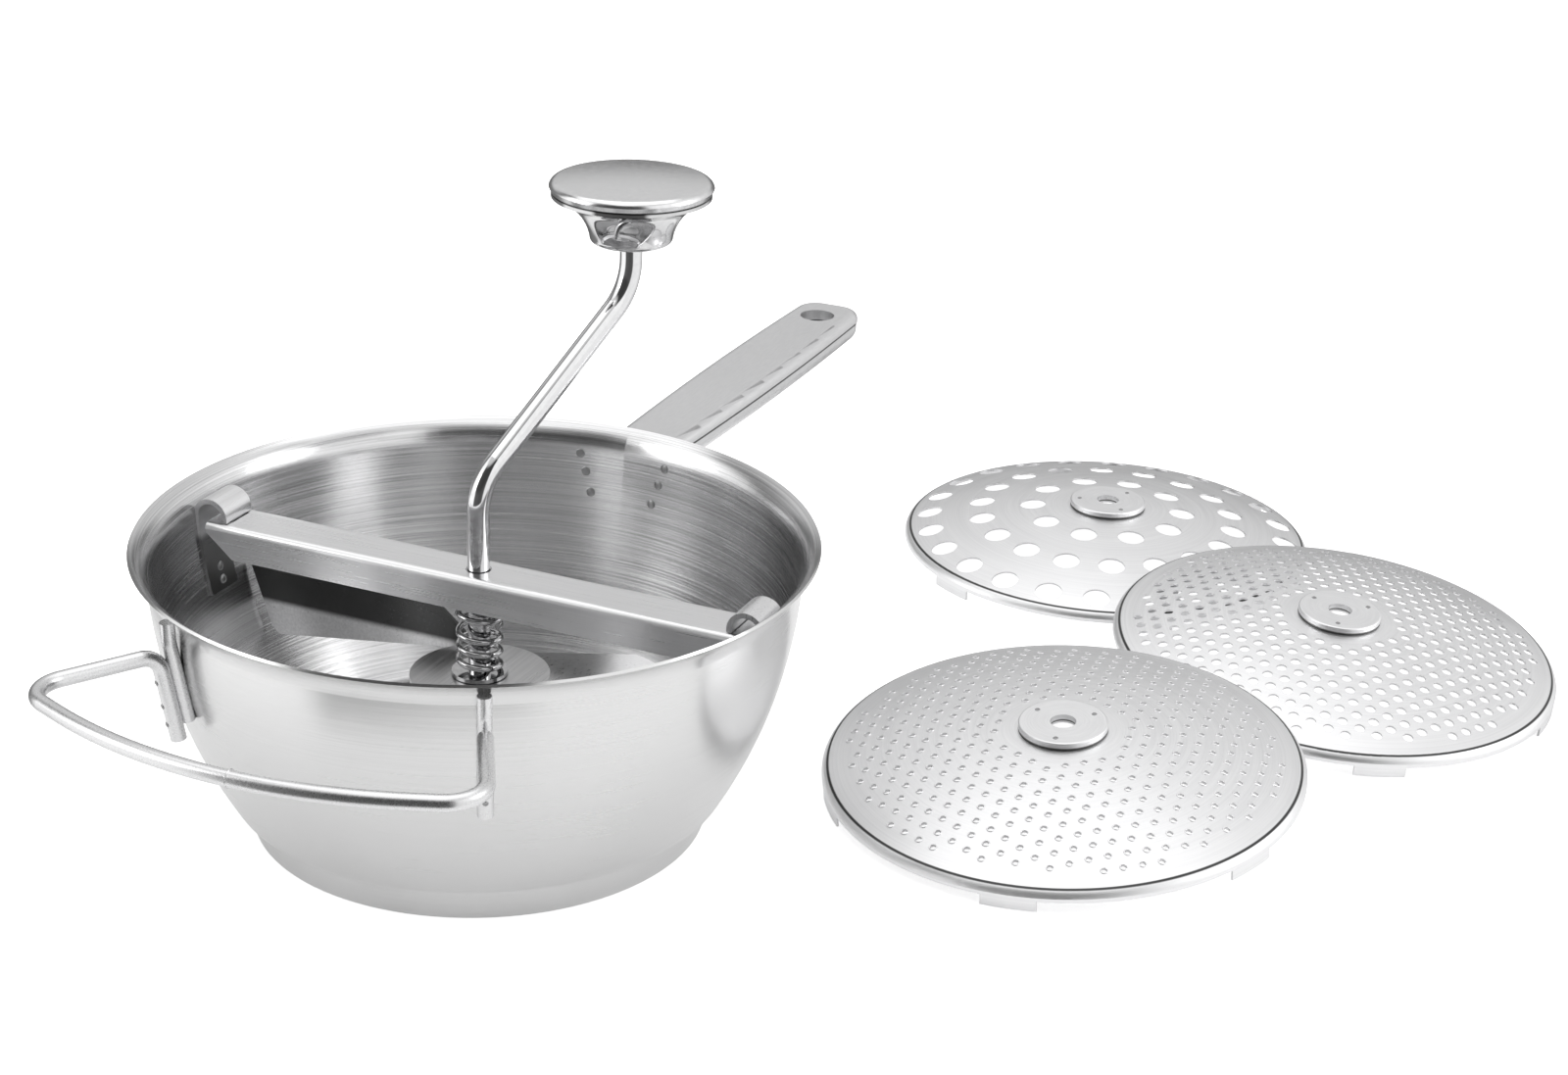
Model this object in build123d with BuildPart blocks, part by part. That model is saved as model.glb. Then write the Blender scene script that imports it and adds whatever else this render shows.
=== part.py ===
from build123d import *
import math
import os

# A rotary food mill of stainless steel with its three loose sieve discs, in millimetres.
# The origin is on the crank's axis, in the plane that the bowl's foot stands on.
# +Z is up, +X runs along the long handle, and the crossbar lies along Y.

# Bowl
rim_diameter = 240.0
bowl_height = 106.0
bowl_wall = 1.0
foot_diameter = 163.0
foot_height = 12.0
foot_step_rise = 2.0
lip_flare = 5.6
lip_height = 10.0
wall_curve_radius = 180.0

# Crossbar and the two hooks that hold it down
bar_width = 20.0
bar_depth = 12.5
bar_sheet = 1.4
bar_top_below_rim = 13.0
bar_end_gap = 6.0
bar_edge_radius = 2.4
slot_gap = 0.5
hook_width = 16.0
hook_neck_width = 10.0
hook_sheet = 1.5
hook_length_below_bar = 30.0
hook_curl_radius = 7.0
hook_tip_depth = 3.2
hook_turn_rise = 1.0
bar_end_depth = 2.0
cut_margin = 1.0

# Crank
rod_diameter = 8.0
rod_end_diameter = 6.0
crank_reach = 72.0
crank_angle = -20.0
crank_bend_radius = 22.0
lower_bend_above_bar = 31.3
crank_rise = 57.0
rod_above_bend = 17.0
bar_hole_clearance = 0.6
running_clearance = 0.1
body_gap = 0.3
weld_sink = 0.4

# Spring, washers and blade
spring_length = 36.0
spring_diameter = 16.8
spring_wire = 2.0
spring_turns = 6.5
washer_diameter = 20.0
washer_thickness = 1.4
blade_sheet = 1.5
blade_hub_diameter = 50.0
blade_press_radius = 84.0
blade_press_drop = 22.0
blade_press_angle = 150.0
blade_wall_gap = 2.2
wing_height = 26.0
wing_offset = 17.0
wing_drop = 10.0
wing_corner_cut = 3.0
wing_root_share = 0.3
pilot_diameter = 9.0
pilot_flange_diameter = 18.0
pilot_flange_thickness = 2.0
pilot_length = 14.0
pilot_chamfer = 1.0

# Knob
knob_diameter = 58.4
knob_neck_diameter = 29.6
knob_height = 23.5
knob_sheet = 1.0
knob_band_height = 1.8
knob_crown_height = 5.0
knob_cap_overhang = 0.8
knob_heel_radius = 2.0
knob_flare_reach_share = 0.30
knob_flare_rise_share = 0.64
knob_shoulder_inset = 2.5
knob_shoulder_share = 0.78
knob_edge_share = 0.35
bush_diameter = 13.0
bush_flange_diameter = 18.0
bush_length = 11.0
retaining_ring_diameter = 12.0
retaining_ring_thickness = 1.5

# Long handle
handle_length = 182.0
handle_top_below_rim = 8.0
handle_root_width = 24.0
handle_widest = 31.0
handle_tip_width = 28.0
handle_widest_share = 0.6
handle_tip_reach = 20.0
handle_tip_radius = 10.0
handle_top_depth = 4.5
handle_bottom_depth = 9.0
handle_sheet = 1.0
seam_step = 0.4
handle_root_inset = 12.0
hang_hole_diameter = 15.0
hang_collar_sheet = 1.0
bracket_sheet = 1.5
bracket_top_width = 44.0
bracket_bottom_width = 28.0
bracket_height = 22.0
bracket_shoulder_drop = 4.0
bracket_top_drop = 1.0
bracket_tongue_length = 30.0

# Loop handle and the two wires that carry it
loop_wire = 5.5
loop_leg_angle = 30.3
loop_below_rim = 16.0
loop_reach = 55.0
loop_corner_radius = 12.0
loop_bow = 34.0
loop_bow_share = 0.75
loop_leg_length = 32.0
loop_leg_bend = 7.0
mount_wire = 5.0
mount_wire_drop = 42.0

# Sieve discs
disc_diameter = 178.0
disc_sheet = 0.8
disc_rise = 13.0
disc_shoulder = 3.0
skirt_height = 4.5
tab_height = 4.0
tab_width = 20.0
tab_count = 6
hub_diameter = 33.0
hub_thickness = 2.5
hub_edge_radius = 0.8
hub_hole_diameter = 9.6
hole_pitch = 7.0
fine_hole_diameter = 2.2
medium_hole_diameter = 4.0
coarse_hole_diameter = 11.4
plain_edge = 6.0
plain_centre = 5.5
coarse_ring_counts = (10, 18, 24)
coarse_ring_shares = (0.37, 0.63, 0.885)
lean_clearance = 2.0
coarse_disc_place = (334.0, -129.5)
medium_disc_bearing = 236.0
medium_disc_spacing = 147.7
fine_disc_bearing = 156.5
fine_disc_spacing = 161.9

# Values worked out from those above
rim_radius = rim_diameter / 2
throat_radius = rim_radius - lip_flare
wall_centre_radius = throat_radius - wall_curve_radius
foot_radius = foot_diameter / 2
foot_top = foot_height
lip_start = bowl_height - lip_height
wall_foot = foot_height + foot_step_rise

bar_top = bowl_height - bar_top_below_rim
bar_underside = bar_top - bar_sheet
rod_radius = rod_diameter / 2
rod_end_radius = rod_end_diameter / 2
guide_radius = rod_radius + running_clearance
spring_top = bar_underside - washer_thickness
spring_bottom = spring_top - spring_length
slot_length_y = hook_sheet + weld_sink + 2 * slot_gap
blade_top = spring_bottom - washer_thickness - body_gap
blade_bottom = blade_top - blade_sheet

arm_direction = Vector(1, 0, 0).rotate(Axis.Z, crank_angle)
knob_centre = arm_direction * crank_reach
lower_bend = bar_top + lower_bend_above_bar
upper_bend = lower_bend + crank_rise
knob_bottom = upper_bend + rod_above_bend
knob_top = knob_bottom + knob_height
knob_seam = knob_top - knob_crown_height

handle_top = bowl_height - handle_top_below_rim
handle_seam = handle_top - handle_top_depth
handle_bottom = handle_seam - handle_bottom_depth
top_edge_radius = handle_top_depth - handle_sheet
bottom_edge_radius = handle_bottom_depth - 3 * handle_sheet
hang_hole_place = rim_radius + handle_length


def wall_radius(height, growth=0.0):
    # The wall is an arc that stands upright level with the rim, and growth is measured square to it.
    rise = bowl_height - height
    return wall_centre_radius + math.sqrt((wall_curve_radius + growth) ** 2 - rise ** 2)


def finish(piece, name):
    piece.part.label = name
    export_step(piece.part, f"parts/{name}.step", write_pcurves=False)


def bowl_outline():
    foot = Line((foot_radius, 0), (foot_radius, foot_top))
    step = Line(foot @ 1, (wall_radius(wall_foot), wall_foot))
    middle = (wall_foot + lip_start) / 2
    wall = ThreePointArc(step @ 1, (wall_radius(middle), middle), (wall_radius(lip_start), lip_start))
    TangentArc(wall @ 1, (rim_radius, bowl_height - bowl_wall), tangent=wall % 1)


def bowl_envelope(growth):
    # Everything inside the outer wall, grown outwards by a sheet's thickness, or inwards if negative.
    with BuildPart() as body:
        with BuildSketch(Plane.XZ):
            with BuildLine():
                middle = (wall_foot + lip_start) / 2
                low = (wall_radius(wall_foot, growth), wall_foot)
                high = (wall_radius(lip_start, growth), lip_start)
                wall = ThreePointArc(low, (wall_radius(middle, growth), middle), high)
                lip = TangentArc(wall @ 1, (rim_radius + growth, bowl_height - bowl_wall), tangent=wall % 1)
                Polyline(lip @ 1, (0, bowl_height), (0, wall_foot), wall @ 0)
            make_face()
        revolve(axis=Axis.Z)
    return body.part


os.makedirs("parts", exist_ok=True)

# ---- Bowl: a spun shell, open at the foot, where the sieve sits on the step

with BuildPart() as bowl:
    with BuildSketch(Plane.XZ):
        with BuildLine():
            bowl_outline()
            offset(amount=bowl_wall, side=Side.LEFT)
        make_face()
    revolve(axis=Axis.Z)
finish(bowl, "bowl")

envelope = bowl_envelope(0)
cavity = bowl_envelope(-bowl_wall)

# ---- Hooks: a strip up the inner wall, curled over the crossbar's end, with a neck in its slot

hook_low = bar_top - hook_length_below_bar
hook_turn = bar_top + hook_turn_rise
hook_middle = (hook_low + hook_turn) / 2
hook_back = bowl_wall - weld_sink
hook_outer = wall_radius(hook_turn) - hook_back
hook_tip_y = hook_outer - 2 * hook_curl_radius
hook_shoulder = bar_top + body_gap
slot_y = hook_tip_y + hook_sheet / 2

for side, hook_name in ((1, "bar_hook_left"), (-1, "bar_hook_right")):
    with BuildPart() as hook:
        with BuildSketch(Plane.YZ):
            with BuildLine():
                strip = ThreePointArc(
                    (wall_radius(hook_low) - hook_back, hook_low),
                    (wall_radius(hook_middle) - hook_back, hook_middle),
                    (hook_outer, hook_turn),
                )
                curl = TangentArc(strip @ 1, (hook_tip_y, hook_turn), tangent=strip % 1)
                Line(curl @ 1, (hook_tip_y, bar_top - hook_tip_depth))
                offset(amount=hook_sheet + weld_sink, side=Side.LEFT)
            make_face()
        extrude(amount=hook_width / 2, both=True)
        neck_side = (hook_width + hook_neck_width) / 4
        with Locations((neck_side, slot_y, hook_shoulder), (-neck_side, slot_y, hook_shoulder)):
            Box(
                (hook_width - hook_neck_width) / 2, 2 * slot_length_y, 2 * (hook_tip_depth + cut_margin),
                align=(Align.CENTER, Align.CENTER, Align.MAX), mode=Mode.SUBTRACT,
            )
        add(cavity, mode=Mode.INTERSECT)
        if side < 0:
            mirror(about=Plane.XZ, mode=Mode.REPLACE)
    finish(hook, hook_name)

# ---- Crossbar: an inverted channel with a slot at each end and a hole for the crank

bar_half = hook_outer - bar_end_gap
with BuildPart() as crossbar:
    with BuildSketch(Plane.XZ):
        with Locations((0, bar_top - bar_depth / 2)):
            channel = Rectangle(bar_width, bar_depth)
        fillet(channel.vertices().group_by(Axis.Y)[-1], bar_edge_radius)
        with BuildSketch(Plane.XZ, mode=Mode.PRIVATE) as hollow:
            with Locations((0, bar_underside - bar_depth / 2)):
                inside = Rectangle(bar_width - 2 * bar_sheet, bar_depth)
            fillet(inside.vertices().group_by(Axis.Y)[-1], bar_edge_radius - bar_sheet)
        add(hollow.sketch, mode=Mode.SUBTRACT)
    extrude(amount=bar_half, both=True)
    with BuildSketch(Plane.YZ):
        for side in (1, -1):
            with BuildLine():
                Polyline(
                    (side * (bar_half + cut_margin), bar_underside - bar_depth),
                    (side * (bar_half + cut_margin), bar_underside - bar_end_depth),
                    (side * bar_half, bar_underside - bar_end_depth),
                    (side * (bar_half - bar_depth), bar_underside - bar_depth),
                    close=True,
                )
            make_face()
    extrude(amount=bar_width, both=True, mode=Mode.SUBTRACT)
    with Locations((0, 0, bar_top)):
        Cylinder(rod_radius + bar_hole_clearance, 3 * bar_sheet, mode=Mode.SUBTRACT)
    with Locations((0, slot_y, bar_top), (0, -slot_y, bar_top)):
        Box(hook_neck_width + 2 * slot_gap, slot_length_y, 3 * bar_sheet, mode=Mode.SUBTRACT)
finish(crossbar, "crossbar")


def ring(outer, inner, low, thickness, name, centre=(0, 0)):
    with BuildPart() as washer:
        with BuildSketch(Plane.XY.offset(low)):
            with Locations(centre):
                Circle(outer)
                Circle(inner, mode=Mode.SUBTRACT)
        extrude(amount=thickness)
    finish(washer, name)


ring(bar_width / 2 - bar_edge_radius, guide_radius, spring_top, washer_thickness, "upper_spring_washer")
ring(washer_diameter / 2, guide_radius, spring_bottom - washer_thickness, washer_thickness, "lower_spring_washer")

# ---- Spring: squeezed between the two washers

with BuildPart() as spring:
    coil_radius = (spring_diameter - spring_wire) / 2
    coil_height = spring_length - spring_wire
    with BuildLine(Plane.XY.offset(spring_bottom + spring_wire / 2)):
        coil = Helix(pitch=coil_height / spring_turns, height=coil_height, radius=coil_radius)
    with BuildSketch(Plane(origin=coil @ 0, z_dir=coil % 0)):
        Circle(spring_wire / 2)
    sweep(is_frenet=True)
finish(spring, "crank_spring")

# ---- Crank rod: upright through the crossbar, slanted out to the knob, upright again

bush_low = knob_bottom + knob_sheet
rod_shoulder = bush_low + bush_length + body_gap
pilot_top = blade_bottom
pilot_low = pilot_top - pilot_length
with BuildPart() as crank_rod:
    with BuildLine():
        FilletPolyline(
            (0, 0, blade_top),
            (0, 0, lower_bend),
            (knob_centre.X, knob_centre.Y, upper_bend),
            (knob_centre.X, knob_centre.Y, rod_shoulder),
            radius=crank_bend_radius,
        )
    with BuildSketch(Plane.XY.offset(blade_top)):
        Circle(rod_radius)
    sweep()
    with BuildSketch(Plane.XY.offset(pilot_low)):
        Circle(rod_end_radius)
    extrude(amount=pilot_length + blade_sheet)
    with BuildSketch(Plane.XY.offset(rod_shoulder)):
        with Locations((knob_centre.X, knob_centre.Y)):
            Circle(rod_end_radius)
    extrude(amount=retaining_ring_thickness)
finish(crank_rod, "crank_rod")

# ---- Blade: a flat hub, a press plate that slopes down on one side, an upright wing on the other

hub_radius = blade_hub_diameter / 2
wing_corner = blade_bottom - wing_drop


def wing_reach(height):
    inner_wall = wall_radius(height) - bowl_wall - blade_wall_gap
    return math.sqrt(inner_wall ** 2 - wing_offset ** 2)


with BuildPart() as blade:
    with BuildSketch(Plane.XY.offset(blade_bottom)):
        Circle(hub_radius)
    extrude(amount=blade_sheet)
    press_start = Plane.XZ.rotated((0, 0, -90 - blade_press_angle / 2))
    with BuildSketch(press_start):
        with BuildLine():
            low = blade_bottom - blade_press_drop
            Polyline(
                (hub_radius - blade_sheet, blade_bottom),
                (blade_press_radius, low),
                (blade_press_radius, low + blade_sheet),
                (hub_radius - blade_sheet, blade_top),
                close=True,
            )
        make_face()
    revolve(axis=Axis.Z, revolution_arc=blade_press_angle)
    with BuildSketch(Plane.YZ.offset(wing_offset)):
        with BuildLine():
            wing_top = wing_corner + wing_height
            Polyline(
                (hub_radius * wing_root_share, blade_bottom),
                (hub_radius, blade_bottom),
                (wing_reach(wing_corner) - wing_corner_cut, wing_corner),
                (wing_reach(wing_corner), wing_corner + wing_corner_cut),
                (wing_reach(wing_top), wing_top),
                (hub_radius, wing_top),
                (hub_radius * wing_root_share, blade_top),
                close=True,
            )
        make_face()
    extrude(amount=-blade_sheet)
    with Locations((0, 0, blade_bottom)):
        Cylinder(rod_end_radius, 3 * blade_sheet, mode=Mode.SUBTRACT)
finish(blade, "mashing_blade")

with BuildPart() as pilot:
    with BuildSketch(Plane.XY.offset(pilot_low)):
        Circle(pilot_diameter / 2)
    extrude(amount=pilot_length)
    chamfer(pilot.edges().group_by(Axis.Z)[0], pilot_chamfer)
    with BuildSketch(Plane.XY.offset(pilot_top - pilot_flange_thickness)):
        Circle(pilot_flange_diameter / 2)
    extrude(amount=pilot_flange_thickness)
    with Locations((0, 0, pilot_low)):
        Cylinder(rod_end_radius, 3 * pilot_length, mode=Mode.SUBTRACT)
finish(pilot, "centre_pilot")

# ---- Knob: a crowned cap over a flared cup, on a bush that the rod's end turns in

knob_axis = Axis((knob_centre.X, knob_centre.Y, 0), (0, 0, 1))
knob_plane = Plane(origin=(knob_centre.X, knob_centre.Y, 0), x_dir=(1, 0, 0), z_dir=(0, -1, 0))
knob_radius = knob_diameter / 2
neck_radius = knob_neck_diameter / 2
seam_radius = knob_radius - knob_cap_overhang
band_low = knob_seam - knob_band_height
flare_radius = neck_radius + (seam_radius - neck_radius) * knob_flare_reach_share
flare_height = knob_bottom + (band_low - knob_bottom) * knob_flare_rise_share
shoulder_height = knob_seam + knob_shoulder_share * knob_crown_height
edge_height = knob_seam + knob_edge_share * knob_crown_height

with BuildPart() as knob_cup:
    with BuildSketch(knob_plane):
        with BuildLine():
            floor = Line((bush_diameter / 2, knob_bottom), (neck_radius - knob_heel_radius, knob_bottom))
            heel = TangentArc(floor @ 1, (neck_radius, knob_bottom + knob_heel_radius), tangent=floor % 1)
            flare = ThreePointArc(heel @ 1, (flare_radius, flare_height), (seam_radius, band_low))
            Line(flare @ 1, (seam_radius, knob_seam))
            offset(amount=knob_sheet, side=Side.LEFT)
        make_face()
    revolve(axis=knob_axis)
finish(knob_cup, "knob_cup")

with BuildPart() as knob_cap:
    with BuildSketch(knob_plane):
        with BuildLine():
            crown = TangentArc((0, knob_top), (knob_radius - knob_shoulder_inset, shoulder_height), tangent=(1, 0))
            shoulder = TangentArc(crown @ 1, (knob_radius, edge_height), tangent=crown % 1)
            Line(shoulder @ 1, (seam_radius, knob_seam))
            offset(amount=knob_sheet, side=Side.RIGHT)
        make_face()
    revolve(axis=knob_axis)
finish(knob_cap, "knob_cap")

with BuildPart() as knob_bush:
    with BuildSketch(Plane.XY.offset(knob_bottom)):
        with Locations((knob_centre.X, knob_centre.Y)):
            Circle(bush_diameter / 2)
    extrude(amount=knob_sheet + bush_length)
    with BuildSketch(Plane.XY.offset(bush_low)):
        with Locations((knob_centre.X, knob_centre.Y)):
            Circle(bush_flange_diameter / 2)
    extrude(amount=knob_sheet)
    with Locations((knob_centre.X, knob_centre.Y, bush_low)):
        Cylinder(guide_radius, 4 * bush_length, mode=Mode.SUBTRACT)
finish(knob_bush, "knob_bush")
ring(
    retaining_ring_diameter / 2, rod_end_radius, rod_shoulder, retaining_ring_thickness,
    "knob_retaining_ring", (knob_centre.X, knob_centre.Y),
)

# ---- Long handle: a bracket welded to the wall, and two pressed shells closed round its tongue

saddle_cut = bowl_envelope(bracket_sheet)
bracket_middle = handle_seam - bracket_height / 2 + handle_top_depth
with BuildPart() as bracket:
    with BuildSketch(Plane.YZ):
        with BuildLine():
            bracket_high = bracket_middle + bracket_height / 2
            bracket_low = bracket_middle - bracket_height / 2
            Polyline(
                (-bracket_bottom_width / 2, bracket_low),
                (bracket_bottom_width / 2, bracket_low),
                (bracket_top_width / 2, bracket_high - bracket_shoulder_drop),
                (bracket_top_width / 2, bracket_high - bracket_top_drop),
                (-bracket_top_width / 2, bracket_high - bracket_top_drop),
                (-bracket_top_width / 2, bracket_high - bracket_shoulder_drop),
                close=True,
            )
        make_face()
    extrude(amount=rim_radius + bracket_sheet)
    add(saddle_cut, mode=Mode.INTERSECT)
    tongue_start = wall_radius(handle_seam) - bowl_wall
    tongue_low = handle_bottom + handle_sheet
    tongue_width = handle_root_width - 2 * (seam_step + bottom_edge_radius)
    tongue_depth = handle_top - handle_sheet - tongue_low
    with Locations((tongue_start, 0, tongue_low)):
        Box(
            bracket_tongue_length, tongue_width, tongue_depth,
            align=(Align.MIN, Align.CENTER, Align.MIN),
        )
    add(envelope, mode=Mode.SUBTRACT)
finish(bracket, "handle_bracket")

handle_start = throat_radius - handle_root_inset


def handle_outline(inset):
    # Sides that bulge gently to the widest place, and a blunt tip.
    root_half = handle_root_width / 2 - inset
    widest = (handle_start + handle_widest_share * handle_length, handle_widest / 2 - inset)
    tip = (hang_hole_place + handle_tip_reach - inset, handle_tip_width / 2 - inset)
    ThreePointArc((handle_start, root_half), widest, tip)
    Line(tip, (tip[0], -tip[1]))
    ThreePointArc((tip[0], -tip[1]), (widest[0], -widest[1]), (handle_start, -root_half))
    Line((handle_start, -root_half), (handle_start, root_half))


collar_radius = hang_hole_diameter / 2 + hang_collar_sheet
with BuildPart() as handle_top_shell:
    with BuildSketch(Plane.XY.offset(handle_seam)) as top_plan:
        with BuildLine():
            handle_outline(0)
        make_face()
        fillet(top_plan.vertices().group_by(Axis.X)[-1], handle_tip_radius)
    extrude(amount=handle_top_depth)
    fillet(handle_top_shell.faces().sort_by(Axis.Z)[-1].edges(), top_edge_radius)
    floor_face = handle_top_shell.faces().sort_by(Axis.Z)[0]
    offset(amount=-handle_sheet, openings=floor_face)
    with BuildSketch(Plane.XY.offset(handle_bottom)):
        with Locations((hang_hole_place, 0)):
            Circle(collar_radius)
    extrude(amount=handle_top - handle_bottom - handle_sheet / 2)
    with Locations((hang_hole_place, 0, handle_seam)):
        Cylinder(hang_hole_diameter / 2, 4 * handle_top_depth + 4 * handle_bottom_depth, mode=Mode.SUBTRACT)
    add(saddle_cut, mode=Mode.SUBTRACT)
finish(handle_top_shell, "handle_top_shell")

with BuildPart() as handle_bottom_shell:
    with BuildSketch(Plane.XY.offset(handle_bottom)) as bottom_plan:
        with BuildLine():
            handle_outline(seam_step)
        make_face()
        fillet(bottom_plan.vertices().group_by(Axis.X)[-1], handle_tip_radius - seam_step)
    extrude(amount=handle_bottom_depth)
    fillet(handle_bottom_shell.faces().sort_by(Axis.Z)[0].edges(), bottom_edge_radius)
    roof_face = handle_bottom_shell.faces().sort_by(Axis.Z)[-1]
    offset(amount=-handle_sheet, openings=roof_face)
    with Locations((hang_hole_place, 0, handle_seam)):
        Cylinder(collar_radius, 4 * handle_bottom_depth, mode=Mode.SUBTRACT)
    add(saddle_cut, mode=Mode.SUBTRACT)
finish(handle_bottom_shell, "handle_bottom_shell")

# ---- Loop handle: a bent wire whose legs are welded to two wires on the bowl's wall

loop_height = bowl_height - loop_below_rim
leg_low = loop_height - loop_leg_length
leg_middle = loop_height - loop_leg_length / 2
leg_slope = (bowl_height - leg_middle) / (wall_radius(leg_middle) - wall_centre_radius)
wire_low = bowl_height - mount_wire_drop
wire_stand_off = mount_wire / 2 - weld_sink
leg_stand_off = wire_stand_off + mount_wire / 2 + loop_wire / 2 - weld_sink
corner_radius = wall_radius(loop_height) + loop_reach


def loop_point(radius, side, height):
    return Vector(radius, 0, height).rotate(Axis.Z, 180 - side * loop_leg_angle)


def leg_point(stand_off, side, height):
    # A straight line that lies along the wall and touches it at the middle of the leg.
    radius = wall_radius(leg_middle) + (height - leg_middle) * leg_slope + stand_off
    return loop_point(radius, side, height)


mount_wires = []
for side, wire_name in ((1, "loop_mount_wire_left"), (-1, "loop_mount_wire_right")):
    with BuildPart() as wire:
        with BuildLine() as wire_path:
            FilletPolyline(
                leg_point(wire_stand_off, side, wire_low),
                leg_point(wire_stand_off, side, lip_start - mount_wire / 2),
                loop_point(rim_radius - mount_wire / 2, side, bowl_height - mount_wire),
                radius=mount_wire,
            )
        with BuildSketch(Plane(origin=wire_path.line @ 0, z_dir=wire_path.line % 0)):
            Circle(mount_wire / 2)
        sweep()
        add(envelope, mode=Mode.SUBTRACT)
    finish(wire, wire_name)
    mount_wires.append(wire.part)

corner = loop_point(corner_radius, 1, loop_height)
bow_middle = Vector(corner.X - loop_bow, 0, loop_height)
bow_run = (corner - bow_middle).length
bow_half_turn = math.atan2(loop_bow, corner.Y)
bow_radius = loop_bow_share * bow_run / math.tan(bow_half_turn)
with BuildPart() as loop_handle:
    with BuildLine() as loop_path:
        FilletPolyline(
            leg_point(leg_stand_off, 1, leg_low),
            leg_point(leg_stand_off, 1, loop_height),
            corner,
            bow_middle,
            loop_point(corner_radius, -1, loop_height),
            leg_point(leg_stand_off, -1, loop_height),
            leg_point(leg_stand_off, -1, leg_low),
            radius=[loop_leg_bend, loop_corner_radius, bow_radius, loop_corner_radius, loop_leg_bend],
        )
    with BuildSketch(Plane(origin=loop_path.line @ 0, z_dir=loop_path.line % 0)):
        Circle(loop_wire / 2)
    sweep()
    add(mount_wires, mode=Mode.SUBTRACT)
finish(loop_handle, "loop_handle")

# ---- Sieve discs: a perforated dome with a skirt and six feet, and a hub plate welded on top

disc_radius = disc_diameter / 2
crown_edge = disc_radius - disc_shoulder
skirt_top = tab_height + skirt_height
crown_top = skirt_top + disc_rise
dome_radius = (crown_edge ** 2 + disc_rise ** 2) / (2 * disc_rise)
tab_half_angle = math.degrees(tab_width / 2 / disc_radius)
low_tab_reach = disc_radius * math.cos(math.radians(180 / tab_count - tab_half_angle))


def crown_height(radius):
    return crown_top - dome_radius + math.sqrt(dome_radius ** 2 - radius ** 2)


def leaning_plane(centre, high_bearing, lean):
    # The disc's own plane, raised so that its lowest feet stand on the table.
    turn = math.radians(high_bearing)
    tilt = math.radians(lean)
    along = (math.cos(turn) * math.cos(tilt), math.sin(turn) * math.cos(tilt), math.sin(tilt))
    normal = (-math.cos(turn) * math.sin(tilt), -math.sin(turn) * math.sin(tilt), math.cos(tilt))
    return Plane(origin=(centre.X, centre.Y, low_tab_reach * math.sin(tilt)), x_dir=along, z_dir=normal)


def lean_over(support):
    return math.degrees(math.asin((support + lean_clearance - tab_height) / (disc_radius + low_tab_reach)))


def bearing_step(spacing, bearing):
    return Vector(spacing, 0, 0).rotate(Axis.Z, bearing)


coarse_centre = Vector(*coarse_disc_place)
medium_centre = coarse_centre + bearing_step(medium_disc_spacing, medium_disc_bearing)
fine_centre = medium_centre + bearing_step(fine_disc_spacing, fine_disc_bearing)
medium_high_bearing = medium_disc_bearing + 180
medium_lean = lean_over(crown_height(medium_disc_spacing - disc_radius))
medium_rise = math.sin(math.radians(medium_lean))
contact_radius = fine_disc_spacing - disc_radius
contact_along = contact_radius * math.cos(math.radians(fine_disc_bearing - medium_high_bearing))
fine_support = crown_height(contact_radius) + (low_tab_reach + contact_along) * medium_rise
fine_lean = lean_over(fine_support)


def lattice_places():
    # Columns in a triangular lattice, as punched sheet has, each place given as a radius and a bearing.
    places = []
    reach = math.ceil(disc_radius / hole_pitch) + 1
    for column in range(-reach, reach + 1):
        along = column * hole_pitch * math.sqrt(3) / 2
        for step in range(-reach, reach + 1):
            across = (step + column % 2 / 2) * hole_pitch
            radius = math.hypot(along, across)
            if hub_diameter / 2 + plain_centre < radius < crown_edge - plain_edge:
                places.append((radius, math.degrees(math.atan2(across, along))))
    return places


def ring_places():
    places = []
    for share, count in zip(coarse_ring_shares, coarse_ring_counts):
        for index in range(count):
            places.append((share * disc_radius, 360 * index / count))
    return places


def hole_locations(place, places):
    dome_centre = place.location * Location((0, 0, crown_top - dome_radius))
    spots = []
    for radius, bearing in places:
        turn = Location((0, 0, 0), (0, 0, bearing))
        tip = Location((0, 0, 0), (0, math.degrees(math.asin(radius / dome_radius)), 0))
        spots.append(dome_centre * turn * tip * Location((0, 0, dome_radius)))
    return spots


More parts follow.
